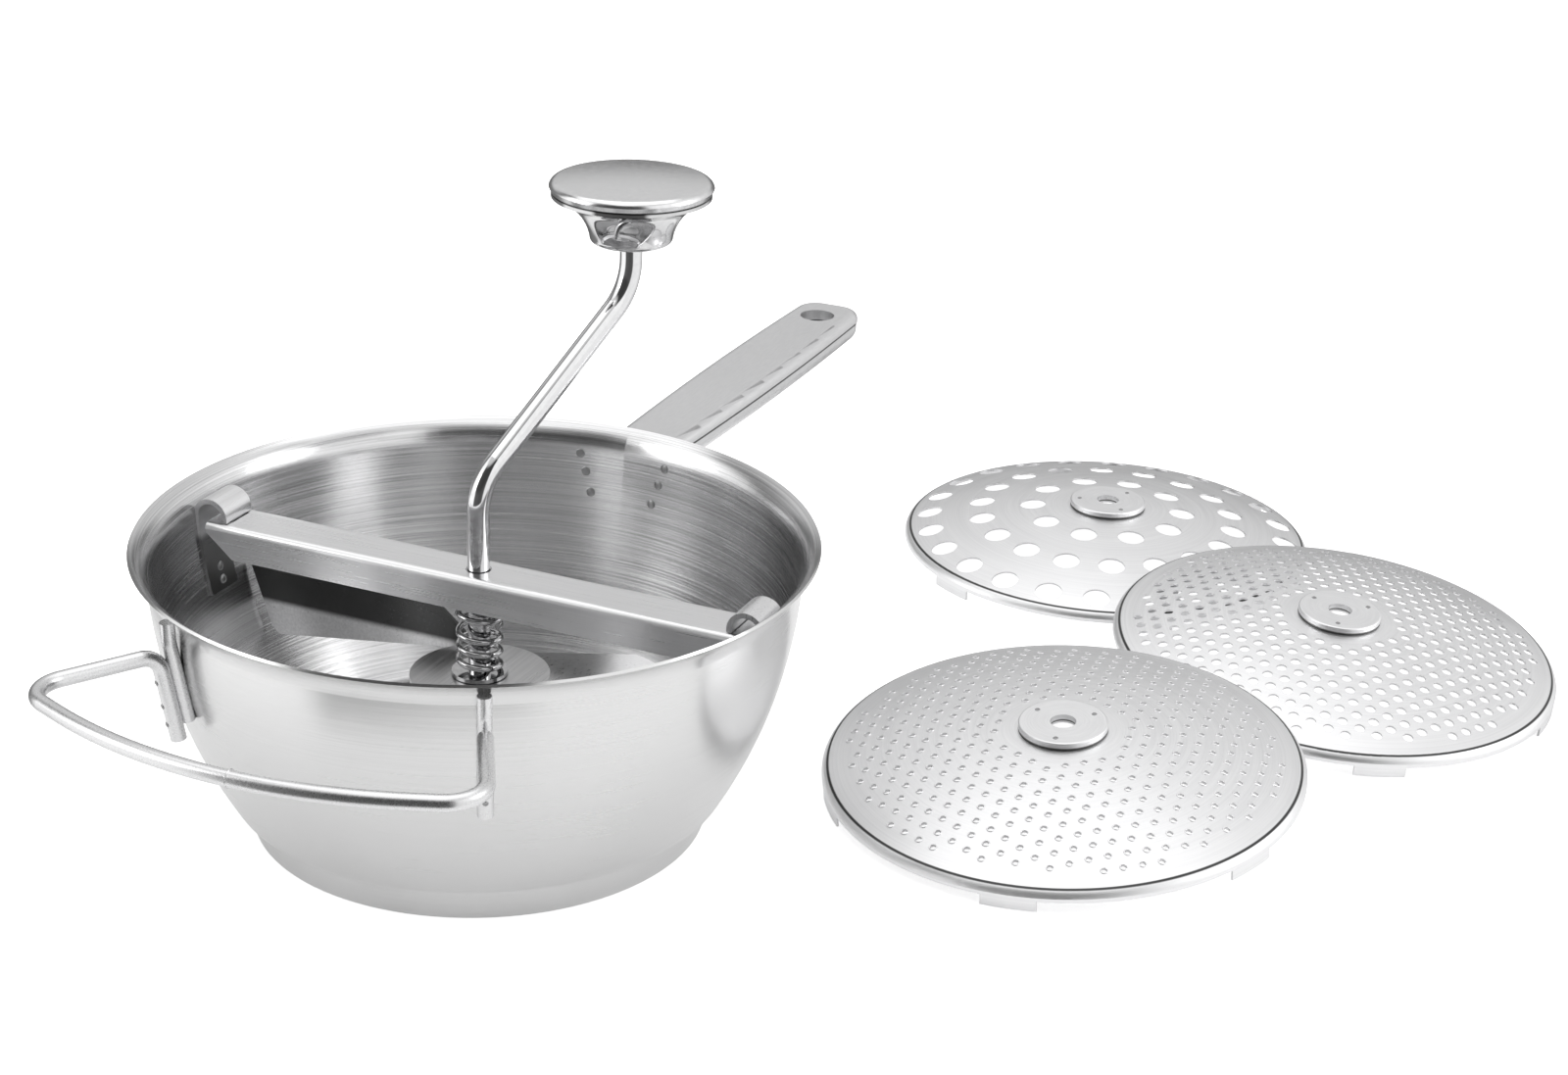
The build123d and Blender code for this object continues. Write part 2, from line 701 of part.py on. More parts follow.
def make_disc(name, place, places, hole_diameter):
    disc_axis = Axis(place.origin, place.z_dir)
    section_plane = Plane(origin=place.origin, x_dir=place.x_dir, z_dir=-place.y_dir)
    with BuildPart() as sieve:
        with BuildSketch(section_plane):
            with BuildLine():
                crown = TangentArc((0, crown_top), (crown_edge, skirt_top), tangent=(1, 0))
                shoulder = TangentArc(crown @ 1, (disc_radius, skirt_top - disc_shoulder), tangent=crown % 1)
                Line(shoulder @ 1, (disc_radius, tab_height))
                offset(amount=disc_sheet, side=Side.RIGHT)
            make_face()
        revolve(axis=disc_axis)
        with BuildSketch(place):
            Circle(disc_radius)
            Circle(disc_radius - disc_sheet, mode=Mode.SUBTRACT)
            with PolarLocations(disc_radius, tab_count, start_angle=180 / tab_count):
                Rectangle(disc_shoulder * 4, tab_width, mode=Mode.INTERSECT)
        extrude(amount=tab_height)
        with Locations(hole_locations(place, places)):
            Cylinder(hole_diameter / 2, 4 * disc_sheet, mode=Mode.SUBTRACT)
        with BuildSketch(place.offset(crown_top - disc_rise)):
            Circle(hub_hole_diameter / 2)
        extrude(amount=2 * disc_rise, mode=Mode.SUBTRACT)
    finish(sieve, f"{name}_sieve_plate")
    with BuildPart() as hub:
        with BuildSketch(place.offset(crown_height(hub_diameter / 2) - disc_sheet)):
            Circle(hub_diameter / 2)
            Circle(hub_hole_diameter / 2, mode=Mode.SUBTRACT)
        extrude(amount=crown_top - crown_height(hub_diameter / 2) + disc_sheet + hub_thickness)
        fillet(hub.faces().sort_by(disc_axis)[-1].outer_wire().edges(), hub_edge_radius)
        with Locations(place.location * Location((0, 0, crown_top - dome_radius))):
            Sphere(dome_radius, mode=Mode.SUBTRACT)
    finish(hub, f"{name}_hub_plate")


make_disc("coarse_disc", leaning_plane(coarse_centre, 0, 0), ring_places(), coarse_hole_diameter)
medium_place = leaning_plane(medium_centre, medium_high_bearing, medium_lean)
make_disc("medium_disc", medium_place, lattice_places(), medium_hole_diameter)
fine_place = leaning_plane(fine_centre, fine_disc_bearing + 180, fine_lean)
make_disc("fine_disc", fine_place, lattice_places(), fine_hole_diameter)
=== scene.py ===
import math
import bpy
from mathutils import Matrix, Vector
from mathutils.bvhtree import BVHTree


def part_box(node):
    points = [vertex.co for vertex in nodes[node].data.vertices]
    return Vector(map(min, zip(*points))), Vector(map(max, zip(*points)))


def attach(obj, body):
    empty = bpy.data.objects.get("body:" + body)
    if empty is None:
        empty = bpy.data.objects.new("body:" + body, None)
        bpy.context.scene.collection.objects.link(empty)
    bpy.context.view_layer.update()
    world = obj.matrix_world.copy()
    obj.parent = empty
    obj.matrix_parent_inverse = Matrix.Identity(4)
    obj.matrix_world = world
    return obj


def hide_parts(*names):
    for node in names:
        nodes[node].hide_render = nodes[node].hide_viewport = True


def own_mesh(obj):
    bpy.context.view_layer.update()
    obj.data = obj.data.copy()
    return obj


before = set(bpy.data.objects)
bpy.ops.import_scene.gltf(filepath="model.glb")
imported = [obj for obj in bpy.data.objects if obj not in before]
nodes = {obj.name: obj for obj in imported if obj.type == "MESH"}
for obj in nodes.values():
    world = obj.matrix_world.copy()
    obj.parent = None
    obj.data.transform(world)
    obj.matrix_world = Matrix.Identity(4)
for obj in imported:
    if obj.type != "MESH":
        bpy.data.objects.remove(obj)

for spareName in ("Cube", "Camera", "Light"):
    if spareName in bpy.data.objects:
        bpy.data.objects.remove(bpy.data.objects[spareName])
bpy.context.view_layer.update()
scene = bpy.context.scene
print("frame loaded,", len(nodes), "CAD nodes")

# camera, at the height and tilt of a hand-held product shot

cameraSetup = {
    "place": (-0.8007, -0.4558, 0.4960),
    "forward": (0.8478, 0.3599, -0.3896),
    "right": (0.3907, -0.9205, 0.0),
    "roll": 1.98,  # degrees
    "lens": 65.4,
    "sensor": 36.0,
}


def addCamera(setup):
    data = bpy.data.cameras.new("productCamera")
    data.lens = setup["lens"]
    data.sensor_width = setup["sensor"]
    data.clip_start = 0.01
    data.clip_end = 100
    camera = bpy.data.objects.new("productCamera", data)
    scene.collection.objects.link(camera)
    forward = Vector(setup["forward"]).normalized()
    level = Vector(setup["right"]).normalized()
    upright = level.cross(forward)
    roll = math.radians(setup["roll"])
    right = level * math.cos(roll) + upright * math.sin(roll)
    up = upright * math.cos(roll) - level * math.sin(roll)
    turn = Matrix((right, up, -forward)).transposed()
    camera.matrix_world = Matrix.Translation(setup["place"]) @ turn.to_4x4()
    scene.camera = camera


addCamera(cameraSetup)
print("camera placed")

# materials

steelSetup = {
    "darkBlue": 1.01,  # how much bluer than grey the darker and the lighter shade are
    "lightBlue": 1.005,
    "smudges": 18.0,  # fineness of the marks of hands and cloths
    "smudgeDulling": (-0.02, 0.03),
    "highlightTurn": 0.25,
    "reliefDepth": 0.0002,
    "insideRelief": 1.03,  # less the outer mask, so that the outside is nearly smooth
    "sideBlend": 0.02,
    "shadeLineCore": 0.4,  # share of a painted shade line's half width that has its full shade
}


def newMaterial(name):
    material = bpy.data.materials.new(name)
    material.use_nodes = True
    tree = material.node_tree
    tree.nodes.clear()
    output = tree.nodes.new("ShaderNodeOutputMaterial")
    shader = tree.nodes.new("ShaderNodeBsdfPrincipled")
    tree.links.new(shader.outputs["BSDF"], output.inputs["Surface"])
    return material, tree, shader


def mathNode(tree, operation, first, second):
    node = tree.nodes.new("ShaderNodeMath")
    node.operation = operation
    for socket, value in zip(node.inputs, (first, second)):
        if isinstance(value, (int, float)):
            socket.default_value = value
        else:
            tree.links.new(value, socket)
    return node.outputs[0]


def ownPlace(tree, centre=(0, 0, 0), turn=(0, 0, 0)):
    # the piece's own coordinates, moved and turned so that a pattern sits on its axis
    place = tree.nodes.new("ShaderNodeTexCoord")
    mapping = tree.nodes.new("ShaderNodeMapping")
    mapping.vector_type = "TEXTURE"
    mapping.inputs["Location"].default_value = centre
    mapping.inputs["Rotation"].default_value = turn
    tree.links.new(place.outputs["Object"], mapping.inputs["Vector"])
    return mapping.outputs["Vector"]


def turnedGrain(tree, place, fineness):
    # fine lines that run in circles round the piece's Z axis
    parts = tree.nodes.new("ShaderNodeSeparateXYZ")
    tree.links.new(place, parts.inputs[0])
    flat = tree.nodes.new("ShaderNodeCombineXYZ")
    tree.links.new(parts.outputs["X"], flat.inputs["X"])
    tree.links.new(parts.outputs["Y"], flat.inputs["Y"])
    length = tree.nodes.new("ShaderNodeVectorMath")
    length.operation = "LENGTH"
    tree.links.new(flat.outputs[0], length.inputs[0])
    heading = tree.nodes.new("ShaderNodeVectorMath")
    heading.operation = "NORMALIZE"
    tree.links.new(flat.outputs[0], heading.inputs[0])
    around = tree.nodes.new("ShaderNodeSeparateXYZ")
    tree.links.new(heading.outputs[0], around.inputs[0])
    grainPlace = tree.nodes.new("ShaderNodeCombineXYZ")
    tree.links.new(around.outputs["X"], grainPlace.inputs["X"])
    tree.links.new(around.outputs["Y"], grainPlace.inputs["Y"])
    lineHeight = mathNode(tree, "MULTIPLY", parts.outputs["Z"], fineness)
    tree.links.new(lineHeight, grainPlace.inputs["Z"])
    noise = tree.nodes.new("ShaderNodeTexNoise")
    noise.noise_dimensions = "4D"
    noise.inputs["Scale"].default_value = 1.0
    noise.inputs["Detail"].default_value = 4.0
    noise.inputs["Roughness"].default_value = 0.65
    tree.links.new(grainPlace.outputs[0], noise.inputs["Vector"])
    lineRadius = mathNode(tree, "MULTIPLY", length.outputs["Value"], fineness)
    tree.links.new(lineRadius, noise.inputs["W"])
    return noise.outputs["Fac"]


def straightGrain(tree, place, fineness, stretch):
    # fine lines along X, or even noise if stretch is 1
    mapping = tree.nodes.new("ShaderNodeMapping")
    mapping.inputs["Scale"].default_value = (fineness / stretch, fineness, fineness)
    tree.links.new(place, mapping.inputs["Vector"])
    noise = tree.nodes.new("ShaderNodeTexNoise")
    noise.inputs["Scale"].default_value = 1.0
    noise.inputs["Detail"].default_value = 4.0
    noise.inputs["Roughness"].default_value = 0.6
    tree.links.new(mapping.outputs[0], noise.inputs["Vector"])
    return noise.outputs["Fac"]


noiseRange = (0.3, 0.7)  # where nearly all of a noise's values lie


def spread(tree, value, low, high):
    node = tree.nodes.new("ShaderNodeMapRange")
    node.inputs["From Min"].default_value, node.inputs["From Max"].default_value = noiseRange
    node.inputs["To Min"].default_value = low
    node.inputs["To Max"].default_value = high
    tree.links.new(value, node.inputs["Value"])
    return node.outputs["Result"]


def fade(tree, value, start, end):
    # 0 before start and 1 after end, or the other way round where end is the smaller
    node = tree.nodes.new("ShaderNodeMapRange")
    node.interpolation_type = "SMOOTHSTEP"
    rising = start < end
    node.inputs["From Min"].default_value = min(start, end)
    node.inputs["From Max"].default_value = max(start, end)
    node.inputs["To Min"].default_value = 0.0 if rising else 1.0
    node.inputs["To Max"].default_value = 1.0 if rising else 0.0
    tree.links.new(value, node.inputs["Value"])
    return node.outputs["Result"]


def radiusAndHeight(tree, place):
    parts = tree.nodes.new("ShaderNodeSeparateXYZ")
    tree.links.new(place, parts.inputs[0])
    flat = mathNode(tree, "ADD", mathNode(tree, "POWER", parts.outputs["X"], 2.0),
                    mathNode(tree, "POWER", parts.outputs["Y"], 2.0))
    return mathNode(tree, "SQRT", flat, 0.0), parts.outputs["Z"]


def outerSide(tree, place):
    # 1 where the metal faces away from the piece's own Z axis, 0 where it faces towards it
    side = tree.nodes.new("ShaderNodeTexCoord")
    across = tree.nodes.new("ShaderNodeVectorMath")
    across.operation = "MULTIPLY"
    across.inputs[1].default_value = (1, 1, 0)
    tree.links.new(place, across.inputs[0])
    along = tree.nodes.new("ShaderNodeVectorMath")
    along.operation = "DOT_PRODUCT"
    tree.links.new(side.outputs["Normal"], along.inputs[0])
    tree.links.new(across.outputs[0], along.inputs[1])
    blend = steelSetup["sideBlend"]
    return fade(tree, along.outputs["Value"], -blend, blend)


def paintedShadeMask(tree, place, kind, start, end):
    # 1 on a line of painted shade or painted reflection at a radius or a height, or on all that is
    # past a height
    radius, height = radiusAndHeight(tree, place)
    if kind == "past":
        return fade(tree, height, start, end)
    value = radius if kind == "radius" else height
    middle, half = (start + end) / 2, abs(end - start) / 2
    off = mathNode(tree, "ABSOLUTE", mathNode(tree, "SUBTRACT", value, middle), 0.0)
    return fade(tree, off, half, half * steelSetup["shadeLineCore"])


def grey(level, blue=1.0):
    return (level, level, level * blue, 1)


def colourMix(tree, factor, first, second):
    # each colour is a socket or a fixed value
    node = tree.nodes.new("ShaderNodeMix")
    node.data_type = "RGBA"
    tree.links.new(factor, node.inputs["Factor"])
    for label, colour in (("A", first), ("B", second)):
        if isinstance(colour, tuple):
            node.inputs[label].default_value = colour
        else:
            tree.links.new(colour, node.inputs[label])
    return node.outputs["Result"]


def grainOf(tree, place, look):
    if look["grain"] == "turned":
        return turnedGrain(tree, place, look["fineness"])
    return straightGrain(tree, place, look["fineness"], look["stretch"])


def turnHighlight(tree, shader, amount):
    # the highlight runs across the brushing
    shader.inputs["Anisotropic"].default_value = amount
    shader.inputs["Anisotropic Rotation"].default_value = steelSetup["highlightTurn"]
    tangent = tree.nodes.new("ShaderNodeTangent")
    tangent.direction_type = "RADIAL"
    tangent.axis = "Z"
    tree.links.new(tangent.outputs[0], shader.inputs["Tangent"])


def steel(name, look):
    material, tree, shader = newMaterial(name)
    place = ownPlace(tree, look.get("centre", (0, 0, 0)), look.get("turn", (0, 0, 0)))
    lines = grainOf(tree, place, look)
    dark, light = look["shades"]
    colour = colourMix(tree, spread(tree, lines, 0.0, 1.0),
                       grey(dark, steelSetup["darkBlue"]), grey(light, steelSetup["lightBlue"]))
    height = lines
    if "outside" in look:
        outer = outerSide(tree, place)
        colour = colourMix(tree, outer, colour, grey(look["outside"]))
        height = mathNode(tree, "MULTIPLY", lines,
                          mathNode(tree, "SUBTRACT", steelSetup["insideRelief"], outer))
    # a line of painted shade or painted reflection
    if "paintedShade" in look:
        kind, start, end, level = look["paintedShade"]
        colour = colourMix(tree, paintedShadeMask(tree, place, kind, start, end), colour, grey(level))
    tree.links.new(colour, shader.inputs["Base Color"])
    handled = straightGrain(tree, place, steelSetup["smudges"], 1.0)
    dull = mathNode(tree, "ADD", spread(tree, lines, *look["roughness"]),
                    spread(tree, handled, *steelSetup["smudgeDulling"]))
    tree.links.new(dull, shader.inputs["Roughness"])
    shader.inputs["Metallic"].default_value = 1.0
    if "anisotropy" in look:
        turnHighlight(tree, shader, look["anisotropy"])
    bump = tree.nodes.new("ShaderNodeBump")
    bump.inputs["Strength"].default_value = look["relief"]
    bump.inputs["Distance"].default_value = steelSetup["reliefDepth"]
    tree.links.new(height, bump.inputs["Height"])
    tree.links.new(bump.outputs[0], shader.inputs["Normal"])
    return material


def coat(name, material):
    mesh = nodes[name].data
    mesh.materials.clear()
    mesh.materials.append(material)


bowlLook = {"grain": "turned", "fineness": 1700.0, "shades": (0.50, 0.86),
            "roughness": (0.18, 0.28), "relief": 0.12, "anisotropy": 0.75, "outside": 0.70}
sheetLook = {"grain": "straight", "fineness": 1400.0, "stretch": 60.0, "shades": (0.74, 0.80),
             "roughness": (0.26, 0.34), "relief": 0.04}
satinLook = {"grain": "straight", "fineness": 1600.0, "stretch": 8.0, "shades": (0.70, 0.76),
             "roughness": (0.34, 0.42), "relief": 0.05}
mirrorLook = {"grain": "straight", "fineness": 500.0, "stretch": 1.0, "shades": (0.72, 0.78),
              "roughness": (0.03, 0.06), "relief": 0.01}
discLook = {"grain": "turned", "fineness": 1500.0, "shades": (0.80, 0.88),
            "roughness": (0.36, 0.46), "relief": 0.03}

# painted shade and painted reflections along edges, seams and folds: the kind of line, its start
# and end in metres, and its shade
paintedShadeLines = {
    # painted shade in the step where the foot meets the wall
    "footStep": ("height", 0.0112, 0.0136, 0.30),
    # painted reflection: the blade's wing is painted nearly black past its foot
    "wing": ("past", 0.0525, 0.0555, 0.05),
    # painted reflection: the left hook's strip below the curl is painted dark
    "hookStrip": ("past", 0.0880, 0.0840, 0.22),
    # the joint of the handle's two shells, with painted shade in its groove
    "handleSeam": ("height", 0.0922, 0.0938, 0.06),
    # painted shade under the front of the knob's cap
    "knobSeam": ("height", 0.2160, 0.2172, 0.05),
    # painted reflection: the dark line where the disc's dome turns down into its skirt
    "discRim": ("radius", 0.0862, 0.0875, 0.07),
    # painted shade under the hub plate's edge
    "hubEdge": ("past", -0.0017, -0.0023, 0.10),
}

quarterTurn = math.pi / 2
bowlSteel = steel("brushedBowlSteel", bowlLook | {"paintedShade": paintedShadeLines["footStep"]})
barSteel = steel("brushedBarSteel", sheetLook | {"turn": (0, 0, quarterTurn)})
# the blade is a darker copy of the bar's sheet steel, painted shade for the dark it reflects, and
# its wing is painted darker still
bladeSteel = steel("brushedBladeSteel", sheetLook | {
    "fineness": 1000.0, "shades": (0.46, 0.60), "paintedShade": paintedShadeLines["wing"]})
hookSteel = steel("hookSteel", sheetLook | {"turn": (0, quarterTurn, 0)})
# the left hook alone is painted dark along its strip: a painted reflection
hookStripSteel = steel("darkHookSteel", sheetLook | {"paintedShade": paintedShadeLines["hookStrip"]})
handleSteel = steel("satinHandleSteel", satinLook | {"paintedShade": paintedShadeLines["handleSeam"]})
wireSteel = steel("satinWireSteel", satinLook | {
    "stretch": 1.0, "shades": (0.66, 0.74), "roughness": (0.24, 0.32)})
crankSteel = steel("polishedCrankSteel", mirrorLook)
# the knob's cup is a darker copy of the polished steel: painted shade for the dark it reflects from
# below
knobSteel = steel("polishedKnobSteel", mirrorLook | {
    "shades": (0.60, 0.66), "paintedShade": paintedShadeLines["knobSeam"]})
knobCapSteel = steel("satinCapSteel", mirrorLook | {"roughness": (0.18, 0.24)})
springSteel = steel("springSteel", mirrorLook | {"shades": (0.40, 0.48), "roughness": (0.06, 0.10)})

nodeMaterials = {
    "bowl": bowlSteel,
    "bar_hook_left": hookStripSteel,
    "bar_hook_right": hookSteel,
    "crossbar": barSteel,
    "upper_spring_washer": springSteel,
    "lower_spring_washer": springSteel,
    "crank_spring": springSteel,
    "crank_rod": crankSteel,
    "mashing_blade": bladeSteel,
    "centre_pilot": crankSteel,
    "knob_cup": knobSteel,
    "knob_cap": knobCapSteel,
    "knob_bush": crankSteel,
    "knob_retaining_ring": springSteel,
    "handle_bracket": handleSteel,
    "handle_top_shell": handleSteel,
    "handle_bottom_shell": handleSteel,
    "loop_mount_wire_left": wireSteel,
    "loop_mount_wire_right": wireSteel,
    "loop_handle": wireSteel,
}
for nodeName, material in nodeMaterials.items():
    coat(nodeName, material)
print("steel on the mill")

# the spring: two runs of coils, one on each washer, so that either washer can move

spring = {
    "coilRadius": 0.0074,
    "wireRadius": 0.00115,
    "bottom": 0.0542,
    "top": 0.0902,
    "turns": 6.5,
    "stepsInTurn": 40,
    "wireSides": 14,
    "pressTravel": 0.004,
    "liftTravel": 0.005,
}


def newShapeTree(name, inputs):
    # an empty tree with a named input for each size, and its input node
    tree = bpy.data.node_groups.new(name, "GeometryNodeTree")
    face = tree.interface
    face.new_socket("Geometry", in_out="INPUT", socket_type="NodeSocketGeometry")
    for label, kind in inputs.items():
        face.new_socket(label, in_out="INPUT", socket_type="NodeSocket" + kind)
    face.new_socket("Geometry", in_out="OUTPUT", socket_type="NodeSocketGeometry")
    return tree, tree.nodes.new("NodeGroupInput")


def finishTree(tree, start, shape):
    # the shape becomes plain geometry, smooth and in its metal
    real = tree.nodes.new("GeometryNodeRealizeInstances")
    smooth = tree.nodes.new("GeometryNodeSetShadeSmooth")
    metal = tree.nodes.new("GeometryNodeSetMaterial")
    end = tree.nodes.new("NodeGroupOutput")
    link = tree.links.new
    link(shape, real.inputs["Geometry"])
    link(real.outputs["Geometry"], smooth.inputs["Geometry"])
    link(smooth.outputs["Geometry"], metal.inputs["Geometry"])
    link(start.outputs["Metal"], metal.inputs["Material"])
    link(metal.outputs["Geometry"], end.inputs["Geometry"])


def buildCoilTree():
    tree, start = newShapeTree("springCoils", {
        "Coil radius": "Float", "Wire radius": "Float", "Start": "Float", "Rise": "Float",
        "Turns": "Float", "Start angle": "Float", "Metal": "Material"})
    link = tree.links.new
    coil = tree.nodes.new("GeometryNodeCurveSpiral")
    coil.inputs["Resolution"].default_value = spring["stepsInTurn"]
    link(start.outputs["Turns"], coil.inputs["Rotations"])
    link(start.outputs["Coil radius"], coil.inputs["Start Radius"])
    link(start.outputs["Coil radius"], coil.inputs["End Radius"])
    link(start.outputs["Rise"], coil.inputs["Height"])
    wire = tree.nodes.new("GeometryNodeCurvePrimitiveCircle")
    wire.inputs["Resolution"].default_value = spring["wireSides"]
    link(start.outputs["Wire radius"], wire.inputs["Radius"])
    tube = tree.nodes.new("GeometryNodeCurveToMesh")
    tube.inputs["Fill Caps"].default_value = True
    link(coil.outputs["Curve"], tube.inputs["Curve"])
    link(wire.outputs["Curve"], tube.inputs["Profile Curve"])
    lift = tree.nodes.new("ShaderNodeCombineXYZ")
    link(start.outputs["Start"], lift.inputs["Z"])
    twist = tree.nodes.new("ShaderNodeCombineXYZ")
    link(start.outputs["Start angle"], twist.inputs["Z"])
    place = tree.nodes.new("GeometryNodeTransform")
    link(tube.outputs["Mesh"], place.inputs["Geometry"])
    link(lift.outputs[0], place.inputs["Translation"])
    link(twist.outputs[0], place.inputs["Rotation"])
    finishTree(tree, start, place.outputs["Geometry"])
    return tree


def bakedPiece(name, host, tree, values):
    # runs a tree on a host mesh and keeps the result as a plain mesh
    piece = bpy.data.objects.new(name, host)
    scene.collection.objects.link(piece)
    modifier = piece.modifiers.new(tree.name, "NODES")
    modifier.node_group = tree
    for socket in tree.interface.items_tree:
        if socket.in_out == "INPUT" and socket.name in values:
            modifier[socket.identifier] = values[socket.name]
    depsgraph = bpy.context.evaluated_depsgraph_get()
    plain = bpy.data.meshes.new_from_object(piece.evaluated_get(depsgraph))
    piece.modifiers.remove(modifier)
    piece.data = plain
    return piece


coilTree = buildCoilTree()
halfTurns = spring["turns"] / 2
halfRise = (spring["top"] - spring["bottom"]) / 2 - spring["wireRadius"]
springMiddle = (spring["top"] + spring["bottom"]) / 2


def springRun(name, start, startAngle):
    values = {"Coil radius": spring["coilRadius"], "Wire radius": spring["wireRadius"],
              "Start": start, "Rise": halfRise, "Turns": halfTurns, "Start angle": startAngle,
              "Metal": springSteel}
    return bakedPiece(name, bpy.data.meshes.new(name + "Host"), coilTree, values)


lowerCoils = springRun("springLowerCoils", springMiddle - halfRise, 0.0)
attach(lowerCoils, "spring_carrier")
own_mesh(lowerCoils)
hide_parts("crank_spring")
upperCoils = springRun("springUpperCoils", springMiddle, 2 * math.pi * (halfTurns % 1))
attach(upperCoils, "crossbar")
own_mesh(upperCoils)
print("spring wound")

# sieve discs: each has its own axis, worked out from its hub plate

discs = {
    # in degrees: where the disc's own X axis points, and where the hub's spot welds are
    "coarse": {"bearing": 0.0, "weldTurns": (110, -25, 225)},
    "medium": {"bearing": 56.0, "weldTurns": (70, -50, 190)},
    "fine": {"bearing": 336.5, "weldTurns": (68, -46, 186)},
}


flatTop = 0.98  # a face belongs to the hub's top if its normal rises more than this


def hubTop(name):
    # the middle and the normal of the hub plate's flat top
    facing = Vector()
    weight = 0.0
    middle = Vector()
    for face in nodes[name + "_disc_hub_plate"].data.polygons:
        if face.normal.z > flatTop:
            facing += face.normal * face.area
            middle += face.center * face.area
            weight += face.area
    return middle / weight, facing.normalized()


for name, disc in discs.items():
    centre, normal = hubTop(name)
    bearing = math.radians(disc["bearing"])
    ahead = Vector((math.cos(bearing), math.sin(bearing), 0))
    along = (ahead - normal * ahead.dot(normal)).normalized()
    disc["centre"] = centre
    disc["axes"] = Matrix((along, normal.cross(along), normal)).transposed()
    ownAxes = {"centre": centre, "turn": disc["axes"].to_euler()}
    discSteel = steel(name + "DiscSteel", discLook | ownAxes | {"paintedShade": paintedShadeLines["discRim"]})
    hubSteel = steel(name + "HubSteel", discLook | ownAxes | {"paintedShade": paintedShadeLines["hubEdge"]})
    coat(name + "_disc_sieve_plate", discSteel)
    coat(name + "_disc_hub_plate", hubSteel)
print("steel on the discs")

# stamped rings: spot welds, burrs and the weld bead on the loop, all from one tree

stampShape = {"ringSides": 12, "beadSides": 4, "lensRings": 6, "lensHeight": 0.15}


def buildStampTree():
    # a ring of bead on each spot, with a flat lens inside it where it is filled
    tree, start = newShapeTree("stampedRings", {
        "Ring radius": "Float", "Bead radius": "Float", "Filled": "Bool", "Metal": "Material"})
    link = tree.links.new
    ring = tree.nodes.new("GeometryNodeCurvePrimitiveCircle")
    ring.inputs["Resolution"].default_value = stampShape["ringSides"]
    bead = tree.nodes.new("GeometryNodeCurvePrimitiveCircle")
    bead.inputs["Resolution"].default_value = stampShape["beadSides"]
    link(start.outputs["Ring radius"], ring.inputs["Radius"])
    link(start.outputs["Bead radius"], bead.inputs["Radius"])
    tube = tree.nodes.new("GeometryNodeCurveToMesh")
    link(ring.outputs["Curve"], tube.inputs["Curve"])
    link(bead.outputs["Curve"], tube.inputs["Profile Curve"])
    lens = tree.nodes.new("GeometryNodeMeshUVSphere")
    lens.inputs["Segments"].default_value = stampShape["ringSides"]
    lens.inputs["Rings"].default_value = stampShape["lensRings"]
    link(start.outputs["Ring radius"], lens.inputs["Radius"])
    dish = tree.nodes.new("GeometryNodeTransform")
    dish.inputs["Scale"].default_value = (1, 1, stampShape["lensHeight"])
    link(lens.outputs["Mesh"], dish.inputs["Geometry"])
    choice = tree.nodes.new("GeometryNodeSwitch")
    choice.input_type = "GEOMETRY"
    link(start.outputs["Filled"], choice.inputs["Switch"])
    link(dish.outputs["Geometry"], choice.inputs["True"])
    stamp = tree.nodes.new("GeometryNodeJoinGeometry")
    link(tube.outputs["Mesh"], stamp.inputs["Geometry"])
    link(choice.outputs["Output"], stamp.inputs["Geometry"])
    facing = tree.nodes.new("GeometryNodeInputNamedAttribute")
    facing.data_type = "FLOAT_VECTOR"
    facing.inputs["Name"].default_value = "facing"
    aim = tree.nodes.new("FunctionNodeAlignRotationToVector")
    aim.axis = "Z"
    link(facing.outputs["Attribute"], aim.inputs["Vector"])
    scatter = tree.nodes.new("GeometryNodeInstanceOnPoints")
    link(start.outputs["Geometry"], scatter.inputs["Points"])
    link(stamp.outputs["Geometry"], scatter.inputs["Instance"])
    link(aim.outputs["Rotation"], scatter.inputs["Rotation"])
    finishTree(tree, start, scatter.outputs["Instances"])
    return tree


stampTree = buildStampTree()


def stampRings(name, spots, size, metal, body):
    # spots are pairs of place and normal, and size says the ring's and the bead's radius
    host = bpy.data.meshes.new(name + "Spots")
    host.from_pydata([place for place, normal in spots], [], [])
    facing = host.attributes.new("facing", "FLOAT_VECTOR", "POINT")
    for entry, (place, normal) in zip(facing.data, spots):
        entry.vector = normal
    values = {"Ring radius": size["ring"], "Bead radius": size["bead"],
              "Filled": size["filled"], "Metal": metal}
    piece = bakedPiece(name, host, stampTree, values)
    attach(piece, body)


surfaces = {}


def spotOn(node, start, heading):
    # where a line meets a CAD node, and which way the metal faces there
    if node not in surfaces:
        mesh = nodes[node].data
        places = [vertex.co for vertex in mesh.vertices]
        surfaces[node] = BVHTree.FromPolygons(places, [face.vertices for face in mesh.polygons])
    heading = Vector(heading).normalized()
    place, normal = surfaces[node].ray_cast(Vector(start), heading)[:2]
    if normal.dot(heading) > 0:
        normal = -normal
    return place, normal


def outwards(angle):
    return Vector((math.cos(angle), math.sin(angle), 0))


up = Vector((0, 0, 1))
weldSteel = steel("spotWeldSteel", satinLook | {
    "stretch": 1.0, "shades": (0.30, 0.42), "roughness": (0.30, 0.42)})
largeWeld = {"ring": 0.0015, "bead": 0.00035, "filled": True}
smallWeld = {"ring": 0.0008, "bead": 0.00022, "filled": True}

